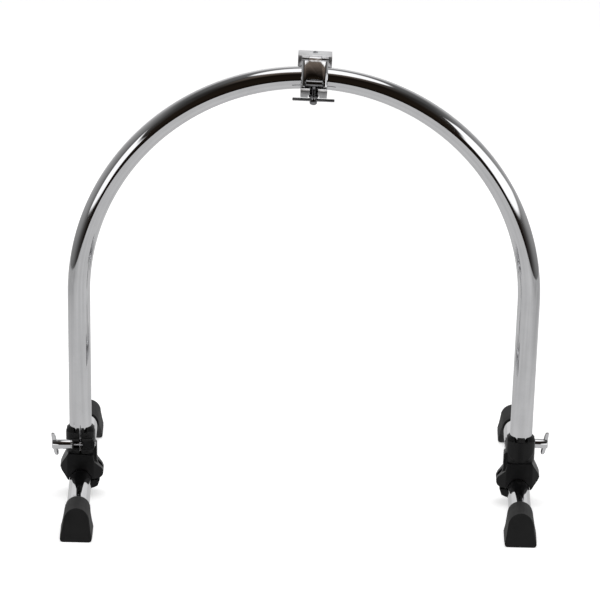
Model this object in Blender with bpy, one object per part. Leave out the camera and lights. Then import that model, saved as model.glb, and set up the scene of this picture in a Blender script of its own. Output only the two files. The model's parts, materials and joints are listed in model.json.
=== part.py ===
# Drum docking frame: a bent chrome arch that stands on two foot tubes.
# A black clamp holds each leg of the arch on its foot tube, and a chrome clamp at the top
# of the arch takes the drum's hoop. Metres, +Z up, the front faces -Y, and the origin
# lies on the floor under the middle of the frame.

import math

import bmesh
import bpy
from mathutils import Matrix, Vector

# Fits
GAP = 0.0003                    # between pieces that touch or run in each other
SOFT_ANGLE = math.radians(32)   # edges flatter than this are shaded smooth
CARVING_SCALE = 1000            # small cuts come out cleaner on a larger copy

# Arch tube
ARCH_RADIUS = 0.300             # to the middle of the tube
ARCH_RISE = 0.2642              # centre of the bend above the foot tubes
TUBE_OD = 0.030
TUBE_WALL = 0.0015
TOE_IN = math.radians(1.38)     # each leg leans in towards the floor
LEG_FORWARD = 0.049             # legs ahead of the middle of the foot tubes
FOOT_STAGGER = 0.009            # left foot tube set forward and right one back by this
BEND_STEPS = 44

# Foot tubes and rubber feet
FOOT_TUBE_OD = 0.030
FOOT_TUBE_WALL = 0.0015
FOOT_TUBE_HALF = 0.169          # from the middle to where each rubber foot starts
FOOT_AXIS_HEIGHT = 0.024
FOOT_SOCKET = 0.045             # depth of the tube's socket in the rubber foot
FOOT_WALL = 0.0017              # rubber around the tube at the mouth
FOOT_HEEL = 0.013               # from the mouth to where the sole starts
FOOT_BROW = 0.0535              # from the mouth to the top of the end face
FOOT_LENGTH = 0.0687            # from the mouth to the end of the sole
FOOT_CROWN = 0.0015             # the top rises this much from the mouth to the brow
SOLE_HALF_HEEL = 0.0217
SOLE_HALF_TOE = 0.0210
SOLE_CORNER = 0.0035

# Leg clamp: collar, saddle and liner
LINER_WALL = 0.0012
COLLAR_WALL = 0.0029
COLLAR_LIP = 0.0005             # flat ring at the top of the sloped rim
COLLAR_TOP = 0.0718             # above the foot tube's axis
COLLAR_CONE = 0.0070            # height of the collar's sloped rim
LINER_TOP = 0.0650              # the collar closes in over the liner
SOCKET_FLOOR = 0.0172
SLIT_WIDTH = 0.0025
SLIT_BOTTOM = 0.038
PAD_PROUD = 0.0015
PAD_HALF = 0.0184
PAD_CENTRE = 0.0570
PAD_CONE = 0.0050               # height of the sloped top of the pads
NOTCH_RADIUS = 0.0017
NOTCH_DEPTH = 0.0056
NOTCH_SPREAD = 0.0071
SADDLE_HALF = 0.0210            # half the saddle's length along the foot tube
SADDLE_END_HALF = 0.0120        # the same at the tips of cheek and lug
SADDLE_SHOULDER = 0.0180        # the length tapers from here outward
CHEEK_REACH = 0.0123            # outer cheek beyond the foot tube's bore
LUG_REACH = 0.0150              # inner lug beyond the foot tube's bore
RIB_REACH = 0.0217              # rib over the lug, from the leg's axis
RIB_TOP = 0.0478
RIB_HALF = 0.0095

# Wing bolt
WING_BOLT_OD = 0.006
WING_BOLT_HEIGHT = 0.0524
WING_BOLT_OUT = 0.0033          # axis beyond the collar's surface
EAR_HALF_HEIGHT = 0.0075
EAR_OUTER = 0.0103
EAR_INNER = 0.0175
EAR_LIP = 0.0045                # ear beyond the bolt's axis
POCKET_OUTER = 0.0085
POCKET_INNER = 0.0035
POCKET_HALF_HEIGHT = 0.0045
HUB_OD = 0.0128
HUB_LENGTH = 0.0250
WING_SPAN = 0.0320
WING_THICKNESS = 0.0028
WASHER_OD = 0.0136
WASHER_THICKNESS = 0.0012
NUT_WIDTH = 0.010
NUT_THICKNESS = 0.004
BOLT_TAIL = 0.0015              # screw end beyond its nut

# Lower jaw and its bolt
JAW_HALF = 0.015                # half the jaw's length along the foot tube
JAW_WALL = 0.0042
JAW_SPLIT = 0.0030              # open gap between jaw and clamp body
JAW_REACH = math.radians(300)   # how far round the foot tube the hook goes
JAW_BOLT_OD = 0.006
JAW_BOLT_OFFSET = 0.0215        # from the foot tube's axis, measured level
JAW_BOLT_LEAN = math.radians(12)
JAW_BOLT_SEAT = 0.0070          # head seat above the foot tube's axis
JAW_BOLT_HEAD_OD = 0.010
JAW_BOLT_HEAD = 0.0060
JAW_BOLT_SOCKET = 0.0025        # half the width of the hex socket
JAW_BOLT_TIP = -0.0078

# Hoop clamp
HOOP_TURN = math.radians(1.4)   # clamp sits this far to the right of the top
HALF_WIDTH = 0.0176             # half the width of fork, channel and hinge
PLATE = 0.0030                  # thickness of the hoop bracket
BACK_HALF = 0.0225              # half the width of the rear plate
FLANGE_ABOVE = 0.0110           # top of the flange above the tube
FLANGE_REACH = 0.0188           # flange behind the rear plate
SHELF_REACH = 0.0217            # shelf behind the rear plate
CORNER = 0.0050
HINGE_ABOVE = 0.0102            # hinge pin above the tube
KNUCKLE_RADIUS = 0.0035         # the web runs straight into the middle knuckle
KNUCKLE_HALF = 0.0077           # half the width of the middle knuckle
PIN_OD = 0.0040
CROSS_PIN_AHEAD = 0.0050        # cross pin in front of the tube
CROSS_PIN_DROP = 0.0024
WEB = 0.0025                    # sheet thickness of the channel
WEB_LEAN = math.radians(35.1)
WEB_CLEARANCE = 0.0006          # web's inner face off the tube
WEB_STOP = 0.0003               # web's top edge off the outer knuckles
BEND = 0.0045                   # outer radius of the channel's two long bends
ARCHWAY_HALF = 0.0125
ARCHWAY_SPRING = 0.0005         # the archway's curve starts here, above the tube's axis
ARCHWAY_RISE = 0.0055
FORK_AHEAD = 0.0085             # fork in front of the cross pin
FORK_SLOT_HALF = 0.0054
FORK_HEIGHT = 0.0103
HORN_DROP = 0.0031              # horns of the fork, below the seat of the T-nut's washer
HORN_GAP = 0.0007               # between the washer and each horn

# Swing bolt and T-nut
SWING_BOLT_OD = 0.006
HEAD_RADIUS = 0.0047            # barrel head of the swing bolt
HEAD_HALF = 0.0120
HEAD_CHAMFER = 0.0012
T_NUT_GRIP = 0.0081             # length of screw in the T-nut
T_WASHER_OD = 0.0134
T_WASHER_THICKNESS = 0.0024
T_HUB_OD = 0.0100
T_HUB_LENGTH = 0.0107
T_BAR_OD = 0.0042
T_BAR_LENGTH = 0.0557
T_BAR_DROP = 0.0036             # bar below the top of the hub

# Hoop screw and pads
HOOP_SCREW_OD = 0.006
HOOP_SCREW_REACH = 0.0132       # screw behind the rear plate
HOOP_SCREW_PROUD = 0.0008
HOOP_BOSS_OD = 0.0110
HOOP_BOSS_DEPTH = 0.0090
SWIVEL_OD = 0.0160
SWIVEL_HEIGHT = 0.0046
SWIVEL_SOCKET = 0.0026
PAD_THICKNESS = 0.0025
HOOP_JAW_OPEN = 0.0140          # between the two rubber pads
LOWER_PAD_HALF = 0.0180

# Worked out from the sizes above
TUBE_R = TUBE_OD / 2
FOOT_R = FOOT_TUBE_OD / 2
FOOT_BORE = FOOT_R + GAP
LINER_IN = TUBE_R + GAP
LINER_OUT = LINER_IN + LINER_WALL
LEG_BORE = LINER_OUT + GAP
COLLAR_R = LEG_BORE + COLLAR_WALL
WING_BOLT_Y = COLLAR_R + WING_BOLT_OUT
CLAMP_CLEAR = TUBE_R + GAP      # hoop clamp's faces off the tube's axis
PLATE_BACK = CLAMP_CLEAR + PLATE
FLANGE_TOP = TUBE_R + FLANGE_ABOVE
FLANGE_BACK = PLATE_BACK + FLANGE_REACH
SHELF_BACK = PLATE_BACK + SHELF_REACH
HOOP_SCREW_BACK = PLATE_BACK + HOOP_SCREW_REACH
HINGE_HEIGHT = TUBE_R + HINGE_ABOVE
WEB_BACK = TUBE_R + WEB_CLEARANCE
WEB_FRONT = WEB_BACK + WEB
HINGE_BACK = (HINGE_HEIGHT * math.sin(WEB_LEAN) + KNUCKLE_RADIUS - WEB_FRONT) / math.cos(WEB_LEAN)
CROSS_PIN_FRONT = TUBE_R + CROSS_PIN_AHEAD
FORK_FRONT = CROSS_PIN_FRONT + FORK_AHEAD
FORK_TOP = FORK_HEIGHT - PLATE_BACK
T_SEAT = PLATE_BACK - CROSS_PIN_DROP + GAP
SWING_BOLT_LENGTH = T_SEAT + T_WASHER_THICKNESS + GAP + T_NUT_GRIP
ARCH_CENTRE = Vector((0, -LEG_FORWARD, FOOT_AXIS_HEIGHT + ARCH_RISE))
LEG_DROP = (ARCH_RISE - ARCH_RADIUS * math.sin(TOE_IN)) / math.cos(TOE_IN)
LEG_X = ARCH_RADIUS * math.cos(TOE_IN) - LEG_DROP * math.sin(TOE_IN)
LEG_END = SOCKET_FLOOR + GAP


def clear_scene():
    for old in list(bpy.data.objects):
        bpy.data.objects.remove(old, do_unlink=True)


def finish(name, colour, roughness, metallic):
    """A plain material for one kind of surface."""
    made = bpy.data.materials.new(name)
    made.use_nodes = True
    shader = made.node_tree.nodes["Principled BSDF"]
    shader.inputs["Base Color"].default_value = (*colour, 1)
    shader.inputs["Roughness"].default_value = roughness
    shader.inputs["Metallic"].default_value = metallic
    return made


def along(axis, a, b, height):
    """The point at (a, b) across an axis and at height along it."""
    return {"x": (height, a, b), "y": (a, height, b), "z": (a, b, height)}[axis]


def arc(centre, radius, start, end, steps):
    """Points of an arc in the plane of an outline, angles in degrees."""
    points = []
    for step in range(steps + 1):
        angle = math.radians(start + (end - start) * step / steps)
        points.append((centre[0] + radius * math.cos(angle), centre[1] + radius * math.sin(angle)))
    return points


def prism(outline, low, high, axis):
    """An outline pushed along one axis from low to high."""
    shape = bmesh.new()
    ends = [[shape.verts.new(along(axis, a, b, height)) for a, b in outline] for height in (low, high)]
    for ring in ends:
        shape.faces.new(ring)
    stitch(shape, ends[0], ends[1])
    return shape


def box(low, high):
    outline = [(low[0], low[1]), (high[0], low[1]), (high[0], high[1]), (low[0], high[1])]
    return prism(outline, low[2], high[2], "z")


def stitch(shape, before, after):
    """Faces between two rings, either of which may be a single point."""
    count = max(len(before), len(after))
    for step in range(count):
        corners = [before[step - 1] if len(before) > 1 else before[0],
                   before[step] if len(before) > 1 else before[0],
                   after[step] if len(after) > 1 else after[0],
                   after[step - 1] if len(after) > 1 else after[0]]
        shape.faces.new(list(dict.fromkeys(corners)))


def turned(profile, axis, sides, centre=(0, 0)):
    """A profile of (radius, height) points turned about an axis.

    A profile that starts and ends on the axis is a solid, and any other one closes to a ring."""
    shape = bmesh.new()
    rings = []
    for radius, height in profile:
        if radius == 0:
            rings.append([shape.verts.new(along(axis, *centre, height))])
            continue
        spots = arc(centre, radius, 0, 360, sides)[:-1]
        rings.append([shape.verts.new(along(axis, a, b, height)) for a, b in spots])
    for before, after in zip(rings, rings[1:]):
        stitch(shape, before, after)
    if profile[0][0] > 0:
        stitch(shape, rings[-1], rings[0])
    return shape


def rod(radius, low, high, axis, sides=24, centre=(0, 0), chamfer=0.0):
    """A round bar, with both rims chamfered if asked."""
    profile = [(0, low), (radius - chamfer, low), (radius, low + chamfer),
               (radius, high - chamfer), (radius - chamfer, high), (0, high)]
    if chamfer == 0:
        profile = [(0, low), (radius, low), (radius, high), (0, high)]
    return turned(profile, axis, sides, centre)


def swept(stations, radii, sides):
    """A round tube, or a bar where one radius is given, along stations of (point, normal)."""
    shape = bmesh.new()
    across = Vector((0, 1, 0))
    skins = []
    for radius in radii:
        skin = []
        for point, normal in stations:
            spots = arc((0, 0), radius, 0, 360, sides)[:-1]
            skin.append([shape.verts.new(point + a * normal + b * across) for a, b in spots])
        for before, after in zip(skin, skin[1:]):
            stitch(shape, before, after)
        skins.append(skin)
    for end in (0, -1):
        if len(radii) == 1:
            shape.faces.new(skins[0][end])
        else:
            stitch(shape, skins[0][end], skins[1][end])
    return shape


def to_mesh(shape, name):
    bmesh.ops.recalc_face_normals(shape, faces=shape.faces)
    mesh = bpy.data.meshes.new(name)
    shape.to_mesh(mesh)
    shape.free()
    return mesh


def carved(name, blank, steps, solver="EXACT"):
    """One mesh from a blank and a list of (operation, shape), worked in order."""
    shapes = [blank] + [shape for _, shape in steps]
    for shape in shapes:
        shape.transform(Matrix.Scale(CARVING_SCALE, 4))
    bodies = [bpy.data.objects.new(name, to_mesh(shape, name)) for shape in shapes]
    for body in bodies:
        bpy.context.collection.objects.link(body)
    for (operation, _), tool in zip(steps, bodies[1:]):
        step = bodies[0].modifiers.new(operation, "BOOLEAN")
        step.operation = operation
        step.solver = solver
        step.object = tool
    bpy.context.view_layer.update()
    graph = bpy.context.evaluated_depsgraph_get()
    mesh = bpy.data.meshes.new_from_object(bodies[0].evaluated_get(graph))
    mesh.name = name
    mesh.transform(Matrix.Scale(1 / CARVING_SCALE, 4))
    for body in bodies:
        bpy.data.objects.remove(body, do_unlink=True)
    return mesh


def merged(first, operation, second):
    """Two shapes as one, for use as a blank or a tool."""
    mesh = carved("merged", first, [(operation, second)])
    shape = bmesh.new()
    shape.from_mesh(mesh)
    bpy.data.meshes.remove(mesh)
    return shape


def frame(name, location, rotation=(0, 0, 0), parent=None):
    """An empty that carries the pieces of one assembly."""
    empty = bpy.data.objects.new(name, None)
    empty.location = location
    empty.rotation_euler = rotation
    empty.parent = parent
    bpy.context.collection.objects.link(empty)
    return empty


def piece(name, mesh, material, parent, location=(0, 0, 0), rotation=(0, 0, 0)):
    """A named piece of the frame, from a mesh that it may share with its twin."""
    if isinstance(mesh, bmesh.types.BMesh):
        mesh = to_mesh(mesh, name)
    mesh.shade_smooth()
    mesh.set_sharp_from_angle(angle=SOFT_ANGLE)
    if not mesh.materials:
        mesh.materials.append(material)
    body = bpy.data.objects.new(name, mesh)
    body.parent = parent
    body.location = location
    body.rotation_euler = rotation
    bpy.context.collection.objects.link(body)
    return body


def arch_tube():
    """Two straight legs and a bend a little over half a turn, in one tube."""
    turn = math.pi + 2 * TOE_IN
    stations = []
    for step in range(BEND_STEPS + 1):
        angle = -TOE_IN + turn * step / BEND_STEPS
        normal = Vector((math.cos(angle), 0, math.sin(angle)))
        stations.append((ARCH_RADIUS * normal, normal))
    leg = LEG_DROP - LEG_END
    right, left = stations[0], stations[-1]
    right_down = Vector((-math.sin(TOE_IN), 0, -math.cos(TOE_IN)))
    left_down = Vector((math.sin(TOE_IN), 0, -math.cos(TOE_IN)))
    stations.insert(0, (right[0] + leg * right_down, right[1]))
    stations.append((left[0] + leg * left_down, left[1]))
    return swept(stations, (TUBE_R, TUBE_R - TUBE_WALL), 24)


def foot_tube():
    """An open tube that reaches into a rubber foot at each end."""
    half = FOOT_TUBE_HALF + FOOT_SOCKET - GAP
    profile = [(FOOT_R, -half), (FOOT_R, half), (FOOT_R - FOOT_TUBE_WALL, half),
               (FOOT_R - FOOT_TUBE_WALL, -half)]
    return turned(profile, "y", 24)


def foot_section(shape, out, half, rise, floor, sole):
    """One ring of the rubber foot: a round top over straight sides and a flat sole."""
    turns = [math.pi * step / 12 for step in range(13)]
    top = [(half * math.cos(turn), rise * math.sin(turn)) for turn in turns]
    corner = min(SOLE_CORNER, sole / 3)
    side = [(half + (sole - half) * 0.45, floor * 0.45), (sole, floor + corner),
            (sole - 0.3 * corner, floor + 0.3 * corner), (sole - corner, floor)]
    outline = top + [(-a, b) for a, b in side] + [(0, floor)] + side[::-1]
    return [shape.verts.new((a, -out, b)) for a, b in outline]


def rubber_foot():
    """A sleeve that grows into a D-shaped block with a sloped end face.

    Built towards -Y from the mouth, about the foot tube's axis."""
    floor = -FOOT_AXIS_HEIGHT
    mouth = FOOT_BORE + FOOT_WALL
    drop = 0.94 * mouth
    brow = mouth + FOOT_CROWN
    soft = 0.0006
    past = 0.010
    end = FOOT_LENGTH + past
    shape = bmesh.new()
    rings = [
        foot_section(shape, 0, mouth - soft, mouth - soft, soft - drop, 0.55 * mouth),
        foot_section(shape, soft, mouth, mouth, -drop, 0.58 * mouth),
        foot_section(shape, FOOT_HEEL, mouth + soft, mouth + soft, floor, SOLE_HALF_HEEL),
        foot_section(shape, FOOT_BROW, mouth + soft, brow, floor, SOLE_HALF_TOE + soft),
        foot_section(shape, end, mouth, brow, floor, SOLE_HALF_TOE),
    ]
    for before, after in zip(rings, rings[1:]):
        stitch(shape, before, after)
    shape.faces.new(rings[0])
    shape.faces.new(rings[-1])
    lean = past * (FOOT_LENGTH - FOOT_BROW) / (brow - floor)
    face = [(-FOOT_BROW + lean, brow + past), (-FOOT_LENGTH - lean, floor - past),
            (-end - past, floor - past), (-end - past, brow + past)]
    wedge = prism(face, -2 * SOLE_HALF_HEEL, 2 * SOLE_HALF_HEEL, "x")
    socket = rod(FOOT_BORE, -FOOT_SOCKET, past, "y", 24)
    return carved("rubber_foot", shape, [("DIFFERENCE", wedge), ("DIFFERENCE", socket)])


def saddle():
    """The lower half of the clamp body, tapered in plan towards its cheek and its lug."""
    cheek = FOOT_BORE + CHEEK_REACH
    lug = FOOT_BORE + LUG_REACH
    outline = [(FOOT_BORE + 0.0013, 0.0005), (cheek - 0.0060, 0.0075), (cheek - 0.0020, 0.0125),
               (cheek, 0.0172), (cheek - 0.0010, 0.0205), (cheek - 0.0036, 0.0255),
               (COLLAR_R + 0.0004, 0.032), (COLLAR_R - 0.003, 0.038), (-COLLAR_R + 0.003, 0.036),
               (-COLLAR_R + 0.0010, 0.0255), (-lug + 0.0020, 0.0150), (-lug, 0.0105),
               (-lug + 0.0003, 0.0065), (-lug + 0.0018, 0.0035), (-lug + 0.0048, JAW_SPLIT - 0.0010),
               (-FOOT_BORE - 0.0004, JAW_SPLIT - 0.0010)]
    plan = []
    for x, y in ((cheek, SADDLE_END_HALF), (SADDLE_SHOULDER, SADDLE_HALF),
                 (-SADDLE_SHOULDER, SADDLE_HALF), (-lug, SADDLE_END_HALF)):
        plan.append((x, y))
    plan += [(x, -y) for x, y in plan[::-1]]
    return merged(prism(outline, -SADDLE_HALF, SADDLE_HALF, "y"), "INTERSECT",
                  prism(plan, -0.01, 2 * COLLAR_TOP, "z"))


def collar_pads():
    """Two raised shields with a round lower end, on the front and the back of the collar."""
    shield = [(PAD_HALF, COLLAR_TOP + 0.001), (-PAD_HALF, COLLAR_TOP + 0.001)]
    shield += arc((0, PAD_CENTRE), PAD_HALF, 180, 360, 20)
    outer = COLLAR_R + PAD_PROUD
    low = PAD_CENTRE - PAD_HALF - 0.002
    profile = [(0, low), (outer, low), (outer, COLLAR_TOP - PAD_CONE),
               (LINER_IN + 2 * COLLAR_LIP, COLLAR_TOP), (0, COLLAR_TOP)]
    return merged(turned(profile, "z", 40), "INTERSECT", prism(shield, -2 * outer, 2 * outer, "y"))


def collar():
    """Thick sleeve with a sloped rim, solid until the leg's bore is cut."""
    profile = [(0, SOCKET_FLOOR - 0.001), (COLLAR_R, SOCKET_FLOOR - 0.001),
               (COLLAR_R, COLLAR_TOP - COLLAR_CONE), (LINER_IN + COLLAR_LIP, COLLAR_TOP), (0, COLLAR_TOP)]
    return turned(profile, "z", 36)


def leg_socket():
    """The leg's bore, narrower above the liner."""
    shoulder = LINER_TOP + GAP
    profile = [(0, SOCKET_FLOOR), (LEG_BORE, SOCKET_FLOOR), (LEG_BORE, shoulder),
               (LINER_IN, shoulder), (LINER_IN, COLLAR_TOP + 0.01), (0, COLLAR_TOP + 0.01)]
    return turned(profile, "z", 32)


def lug_rib():
    """The rib that backs the collar over the lug."""
    outline = [(-LEG_BORE - 0.001, 0.020), (-RIB_REACH - 0.0015, 0.020), (-RIB_REACH, 0.026),
               (-RIB_REACH, RIB_TOP - 0.0015), (-RIB_REACH + 0.0015, RIB_TOP), (-LEG_BORE - 0.001, RIB_TOP)]
    return prism(outline, -RIB_HALF, RIB_HALF, "y")


def bolt_ears():
    """The block across the slit that the wing bolt pulls together."""
    low = WING_BOLT_HEIGHT - EAR_HALF_HEIGHT
    high = WING_BOLT_HEIGHT + EAR_HALF_HEIGHT
    front = WING_BOLT_Y + EAR_LIP
    soft = 0.003
    outline = [(LEG_BORE + 0.001, low), (front - soft, low), (front, low + soft),
               (front, high - soft), (front - soft, high), (LEG_BORE + 0.001, high)]
    return prism(outline, -EAR_INNER, EAR_OUTER, "x")


def leaning(shape):
    """Lay a shape built along Z onto the axis of the jaw bolt."""
    lean = Matrix.Translation((-JAW_BOLT_OFFSET, 0, 0)) @ Matrix.Rotation(-JAW_BOLT_LEAN, 4, "Y")
    shape.transform(lean)
    return shape


def clamp_body():
    """Split collar for the leg over a half-round saddle on the foot tube."""
    bolt = WING_BOLT_OD / 2 + GAP
    spot = (WING_BOLT_Y, WING_BOLT_HEIGHT)
    front = WING_BOLT_Y + 2 * EAR_LIP
    nut = NUT_WIDTH / 2 + GAP
    nut_floor = -EAR_INNER + NUT_THICKNESS * 0.6
    steps = [
        ("UNION", collar()),
        ("UNION", collar_pads()),
        ("UNION", lug_rib()),
        ("UNION", bolt_ears()),
        ("DIFFERENCE", leg_socket()),
        ("DIFFERENCE", rod(FOOT_BORE, -2 * SADDLE_HALF, 2 * SADDLE_HALF, "y", 32)),
        ("DIFFERENCE", box((-SLIT_WIDTH / 2, 0, SLIT_BOTTOM), (SLIT_WIDTH / 2, front, COLLAR_TOP + 0.01))),
        ("DIFFERENCE", box((-POCKET_INNER, LEG_BORE + 0.0015, WING_BOLT_HEIGHT - POCKET_HALF_HEIGHT),
                           (POCKET_OUTER, front, WING_BOLT_HEIGHT + POCKET_HALF_HEIGHT))),
        ("DIFFERENCE", rod(bolt, -EAR_INNER - 0.005, EAR_OUTER + 0.005, "x", 16, spot)),
        ("DIFFERENCE", rod(WASHER_OD / 2 + GAP, EAR_OUTER, 2 * COLLAR_R, "x", 24, spot)),
        ("DIFFERENCE", box((-2 * EAR_INNER, WING_BOLT_Y - nut, WING_BOLT_HEIGHT - nut),
                           (nut_floor, front, WING_BOLT_HEIGHT + nut))),
    ]
    for side in (-1, 1):
        middle = side * NOTCH_SPREAD
        notch = [(middle + NOTCH_RADIUS, COLLAR_TOP + 0.002), (middle - NOTCH_RADIUS, COLLAR_TOP + 0.002)]
        notch += arc((middle, COLLAR_TOP - NOTCH_DEPTH + NOTCH_RADIUS), NOTCH_RADIUS, 180, 360, 8)
        steps.append(("DIFFERENCE", prism(notch, -2 * COLLAR_R, 2 * COLLAR_R, "y")))
    hole = rod(JAW_BOLT_OD / 2 + GAP, -0.010, JAW_BOLT_SEAT + 0.002, "z", 16)
    recess = rod(JAW_BOLT_HEAD_OD / 2 + GAP, JAW_BOLT_SEAT, 0.045, "z", 20)
    steps += [("DIFFERENCE", leaning(hole)), ("DIFFERENCE", leaning(recess))]
    return carved("clamp_body", saddle(), steps, "MANIFOLD")


def leg_liner():
    """A thin sleeve with a slit in line with the collar's."""
    half_slit = math.degrees(math.asin(SLIT_WIDTH / 2 / LINER_IN))
    start = 90 + half_slit
    end = 450 - half_slit
    outline = arc((0, 0), LINER_OUT, start, end, 31) + arc((0, 0), LINER_IN, end, start, 31)
    return prism(outline, SOCKET_FLOOR + GAP, LINER_TOP, "z")


def lower_jaw():
    """A hook that passes under the foot tube, with the lug that the jaw bolt pulls up."""
    top = -0.0010
    start = 180 + math.degrees(JAW_BOLT_LEAN)
    hook_end = math.degrees(JAW_REACH)
    outer = FOOT_BORE + JAW_WALL
    outline = [(-JAW_BOLT_OFFSET - 0.004, top), (-FOOT_BORE - 0.0008, top)]
    outline += arc((0, 0), FOOT_BORE, start, hook_end, 14)
    outline += arc((0, 0), outer, hook_end, 222, 10)
    outline += [(-JAW_BOLT_OFFSET + 0.0035, JAW_BOLT_TIP - 0.0042),
                (-JAW_BOLT_OFFSET - 0.0010, JAW_BOLT_TIP - 0.0018)]
    hole = rod(JAW_BOLT_OD / 2 + GAP, JAW_BOLT_TIP - GAP, 0.010, "z", 16)
    return carved("lower_jaw", prism(outline, -JAW_HALF, JAW_HALF, "y"), [("DIFFERENCE", leaning(hole))])


def jaw_bolt():
    """Socket head screw, built along its own axis."""
    seat = JAW_BOLT_SEAT + GAP
    shank = JAW_BOLT_OD / 2
    head = JAW_BOLT_HEAD_OD / 2
    top = seat + JAW_BOLT_HEAD
    chamfer = 0.0005
    profile = [(0, JAW_BOLT_TIP), (shank - chamfer, JAW_BOLT_TIP), (shank, JAW_BOLT_TIP + chamfer),
               (shank, seat), (head, seat), (head, top - chamfer), (head - chamfer, top), (0, top)]
    socket = hexagon(JAW_BOLT_SOCKET, top - 0.0035, top + 0.001, "z")
    return carved("jaw_bolt", turned(profile, "z", 20), [("DIFFERENCE", socket)])


def hexagon(apothem, low, high, axis):
    corner = apothem / math.cos(math.radians(30))
    return prism(arc((0, 0), corner, 0, 360, 6)[:-1], low, high, axis)


def wing_bolt():
    """A long round hub with two wings, and the screw that crosses both ears."""
    shank = WING_BOLT_OD / 2
    seat = EAR_OUTER + WASHER_THICKNESS + 2 * GAP
    end = seat + HUB_LENGTH
    tip = -EAR_INNER + 0.6 * NUT_THICKNESS - NUT_THICKNESS - GAP - BOLT_TAIL
    hub = HUB_OD / 2
    chamfer = 0.0006
    profile = [(0, tip), (shank - chamfer, tip), (shank, tip + chamfer), (shank, seat),
               (hub - chamfer, seat), (hub, seat + chamfer), (hub, end - chamfer),
               (hub - chamfer, end), (0, end)]
    reach = WING_SPAN / 2
    root = hub * 0.6
    wings = [(-root, end - 0.0070), (-0.70 * reach, end - 0.0088), (-0.88 * reach, end - 0.0078),
             (-0.94 * reach, end - 0.0057), (-0.86 * reach, end - 0.0038), (-root, end - 0.0016),
             (root, end - 0.0003), (0.93 * reach, end + 0.0006), (reach, end - 0.0010),
             (0.95 * reach, end - 0.0030), (0.65 * reach, end - 0.0048), (root, end - 0.0062)]
    shape = bmesh.new()
    half = WING_THICKNESS / 2
    sides = [[shape.verts.new((b, y, a)) for a, b in wings] for y in (-half, half)]
    for ring in sides:
        shape.faces.new(ring)
    stitch(shape, sides[0], sides[1])
    return carved("wing_bolt", turned(profile, "x", 20), [("UNION", shape)])


def washer(bore, outer, low, high, axis):
    return turned([(bore, low), (outer, low), (outer, high), (bore, high)], axis, 24)


def square_nut():
    """Square nut in the slot of the inner ear, built about the wing bolt's axis."""
    floor = -EAR_INNER + 0.6 * NUT_THICKNESS - GAP
    half = NUT_WIDTH / 2
    outline = [(-half, -half), (half, -half), (half, half), (-half, half)]
    blank = prism(outline, floor - NUT_THICKNESS, floor, "x")
    bore = rod(WING_BOLT_OD / 2 + GAP, -0.05, 0.05, "x", 16)
    return carved("square_nut", blank, [("DIFFERENCE", bore)])


def leg_clamps(black, nylon, chrome, steel, rubber):
    """Both leg clamps with their foot tubes and feet."""
    meshes = {
        "clamp_body": clamp_body(),
        "leg_liner": to_mesh(leg_liner(), "leg_liner"),
        "lower_jaw": lower_jaw(),
        "jaw_bolt": jaw_bolt(),
        "wing_bolt": wing_bolt(),
        "wing_washer": to_mesh(washer(WING_BOLT_OD / 2 + GAP, WASHER_OD / 2, EAR_OUTER + GAP,
                                      EAR_OUTER + GAP + WASHER_THICKNESS, "x"), "wing_washer"),
        "wing_nut_square": square_nut(),
        "foot_tube": to_mesh(foot_tube(), "foot_tube"),
        "rubber_foot": rubber_foot(),
    }
    for side, sign, half_turn in (("right", 1, 0), ("left", -1, math.pi)):
        clamp = frame(side + "_clamp_frame", (sign * LEG_X, -LEG_FORWARD, FOOT_AXIS_HEIGHT),
                      (0, 0, half_turn))
        lean = frame(side + "_clamp_lean", (0, 0, 0), (0, TOE_IN, 0), clamp)
        bolt = (0, WING_BOLT_Y, WING_BOLT_HEIGHT)
        piece(side + "_clamp_body", meshes["clamp_body"], black, lean)
        piece(side + "_leg_liner", meshes["leg_liner"], nylon, lean)
        piece(side + "_lower_jaw", meshes["lower_jaw"], black, lean)
        piece(side + "_jaw_bolt", meshes["jaw_bolt"], steel, lean, (-JAW_BOLT_OFFSET, 0, 0),
              (0, -JAW_BOLT_LEAN, 0))
        piece(side + "_wing_bolt", meshes["wing_bolt"], chrome, lean, bolt)
        piece(side + "_wing_bolt_washer", meshes["wing_washer"], chrome, lean, bolt)
        piece(side + "_wing_bolt_nut", meshes["wing_nut_square"], black, lean, bolt)
        foot = frame(side + "_foot_frame", (sign * LEG_X, sign * FOOT_STAGGER, FOOT_AXIS_HEIGHT))
        piece(side + "_foot_tube", meshes["foot_tube"], chrome, foot)
        piece(side + "_front_foot", meshes["rubber_foot"], rubber, foot, (0, -FOOT_TUBE_HALF, 0))
        piece(side + "_rear_foot", meshes["rubber_foot"], rubber, foot, (0, FOOT_TUBE_HALF, 0),
              (0, 0, math.pi))


def tube_room():
    """The curved space of the arch tube through the hoop clamp, with its running gap."""
    stations = []
    for step in range(-4, 5):
        angle = math.radians(90 - 2 * step)
        normal = Vector((math.cos(angle), 0, math.sin(angle)))
        stations.append((ARCH_RADIUS * normal - Vector((0, 0, ARCH_RADIUS)), normal))
    return swept(stations, (CLAMP_CLEAR,), 32)


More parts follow.
